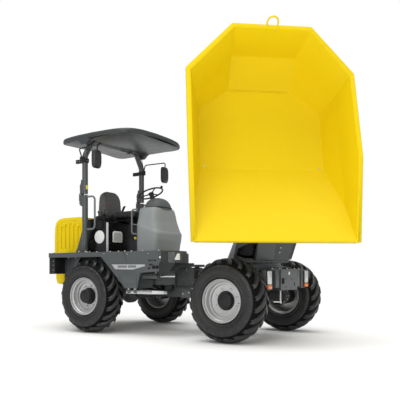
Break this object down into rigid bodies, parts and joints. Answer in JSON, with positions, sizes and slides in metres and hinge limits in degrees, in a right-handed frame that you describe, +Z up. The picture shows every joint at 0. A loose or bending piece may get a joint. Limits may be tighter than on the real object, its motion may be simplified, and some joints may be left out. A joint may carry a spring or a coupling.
{
  "type": "site dumper",
  "caption": "Centre-pivot site dumper whose swivelling skip tips forward, with open driver's seat and folding roll bar canopy.",
  "frame": {"origin": "on the ground under the middle of the bounding box", "axes": "+X forward, +Y to the driver's left, +Z up"},
  "size_m": [5.085, 2.8258, 3.9636],
  "materials": {
    "dark_paint": "satin anthracite",
    "canopy_plastic": "fine grain",
    "yellow_paint": "gloss",
    "grey_moulding": "satin",
    "black_sheet": "satin",
    "black_plastic": "matte",
    "engine": "painted",
    "vinyl": "grained vinyl",
    "step_metal": "ribbed",
    "lamp_lens": "clear",
    "ram_paint": "satin",
    "ram_rod": "polished",
    "tyre": "matte",
    "rim": "silver"
  },
  "bodies": {
    "rear_frame": {"rear_chassis": "dark_paint", "deck": "dark_paint", "rear_axle": "dark_paint", "engine_block": "engine", "seat_housing": "black_sheet", "console": "grey_moulding", "seat_mount": "black_plastic", "seat_cushion": "vinyl", "seat_backrest": "vinyl", "lever_box": "black_plastic", "lower_post_right": "dark_paint", "lower_post_left": "dark_paint", "rear_lamp_right": "black_plastic", "rear_lamp_left": "black_plastic", "rear_ballast": "yellow_paint", "step_right": "step_metal"},
    "hood": {"hood": "yellow_paint"},
    "roll_bar": {"upper_arch": "dark_paint", "canopy": "canopy_plastic", "mirror_right": "black_plastic", "mirror_left": "black_plastic"},
    "steering_wheel": {"steering_wheel": "black_plastic"},
    "pivot_yoke": {"pivot_yoke": "dark_paint"},
    "front_frame": {"front_chassis": "dark_paint", "front_axle": "dark_paint", "headlight_right": "lamp_lens", "headlight_left": "lamp_lens"},
    "turret": {"turret": "dark_paint"},
    "skip": {"skip": "yellow_paint"},
    "tip_barrel": {"tip_barrel": "ram_paint"},
    "tip_rod": {"tip_rod": "ram_rod"},
    "steer_barrel": {"steer_barrel": "ram_paint"},
    "steer_rod": {"steer_rod": "ram_rod"},
    "wheel_rear_right": {"tyre_rear_right": "tyre", "rim_rear_right": "rim"},
    "wheel_rear_left": {"tyre_rear_left": "tyre", "rim_rear_left": "rim"},
    "wheel_front_right": {"tyre_front_right": "tyre", "rim_front_right": "rim"},
    "wheel_front_left": {"tyre_front_left": "tyre", "rim_front_left": "rim"}
  },
  "joints": [
    {"name": "centre_steer", "type": "hinge", "parent": "rear_frame", "child": "pivot_yoke", "pos_m": [-0.08251, 0.3259, 0.835], "axis": [0, 0, 1], "range_deg": [-33, 33]},
    {"name": "frame_swing", "type": "hinge", "parent": "pivot_yoke", "child": "front_frame", "pos_m": [0.21749, 0.3259, 0.64], "axis": [1, 0, 0], "range_deg": [-6, 6]},
    {"name": "skip_swivel", "type": "hinge", "parent": "front_frame", "child": "turret", "pos_m": [0.84749, 0.3259, 0.985], "axis": [0, 0, 1], "range_deg": [-39.7, 140.3]},
    {"name": "skip_tip", "type": "hinge", "parent": "turret", "child": "skip", "pos_m": [1.52458, -0.48966, 1.56], "axis": [-0.7694, -0.6388, 0], "range_deg": [0, 76.65]},
    {"name": "tip_ram_swing", "type": "hinge", "parent": "turret", "child": "tip_barrel", "pos_m": [0.77084, 0.41823, 1.135], "axis": [-0.7694, -0.6388, 0], "range_deg": [-36.96, 1]},
    {"name": "tip_ram_stroke", "type": "slide", "parent": "tip_barrel", "child": "tip_rod", "axis": [0.4341, -0.5229, 0.7336], "range_m": [-0.463, 0.005]},
    {"name": "steer_ram_swing", "type": "hinge", "parent": "rear_frame", "child": "steer_barrel", "pos_m": [-0.82251, -0.2741, 0.835], "axis": [0, 0, 1], "range_deg": [-8, 8]},
    {"name": "steer_ram_stroke", "type": "slide", "parent": "steer_barrel", "child": "steer_rod", "axis": [0.9737, 0.2276, 0], "range_m": [-0.2271, 0.2271]},
    {"name": "steering_wheel_turn", "type": "hinge", "parent": "rear_frame", "child": "steering_wheel", "pos_m": [-0.95851, 0.3259, 2.138], "axis": [-0.3746, 0, 0.9272], "range_deg": [-535, 535]},
    {"name": "hood_open", "type": "hinge", "parent": "rear_frame", "child": "hood", "pos_m": [-1.80951, 0.3259, 1.732], "axis": [0, 1, 0], "range_deg": [0, 60]},
    {"name": "roll_bar_fold", "type": "hinge", "parent": "rear_frame", "child": "roll_bar", "pos_m": [-1.78751, 0.3259, 2.1], "axis": [0, 1, 0], "range_deg": [-90, 0]},
    {"name": "wheel_rear_right_roll", "type": "hinge", "parent": "rear_frame", "child": "wheel_rear_right", "pos_m": [-1.38251, -0.5611, 0.5375], "axis": [0, 1, 0], "continuous": true},
    {"name": "wheel_rear_left_roll", "type": "hinge", "parent": "rear_frame", "child": "wheel_rear_left", "pos_m": [-1.38251, 1.2129, 0.5375], "axis": [0, 1, 0], "continuous": true},
    {"name": "wheel_front_right_roll", "type": "hinge", "parent": "front_frame", "child": "wheel_front_right", "pos_m": [0.96749, -0.5611, 0.5375], "axis": [0, 1, 0], "continuous": true},
    {"name": "wheel_front_left_roll", "type": "hinge", "parent": "front_frame", "child": "wheel_front_left", "pos_m": [0.96749, 1.2129, 0.5375], "axis": [0, 1, 0], "continuous": true}
  ],
  "couplings": [
    {"joint": "tip_ram_swing", "follows": "skip_tip", "ratio": -0.46913},
    {"joint": "tip_ram_stroke", "follows": "skip_tip", "m_per_rad": -0.34233},
    {"joint": "steer_ram_swing", "follows": "centre_steer", "ratio": -0.12812},
    {"joint": "steer_ram_stroke", "follows": "centre_steer", "m_per_rad": 0.38561},
    {"joint": "steering_wheel_turn", "follows": "centre_steer", "ratio": 16}
  ]
}
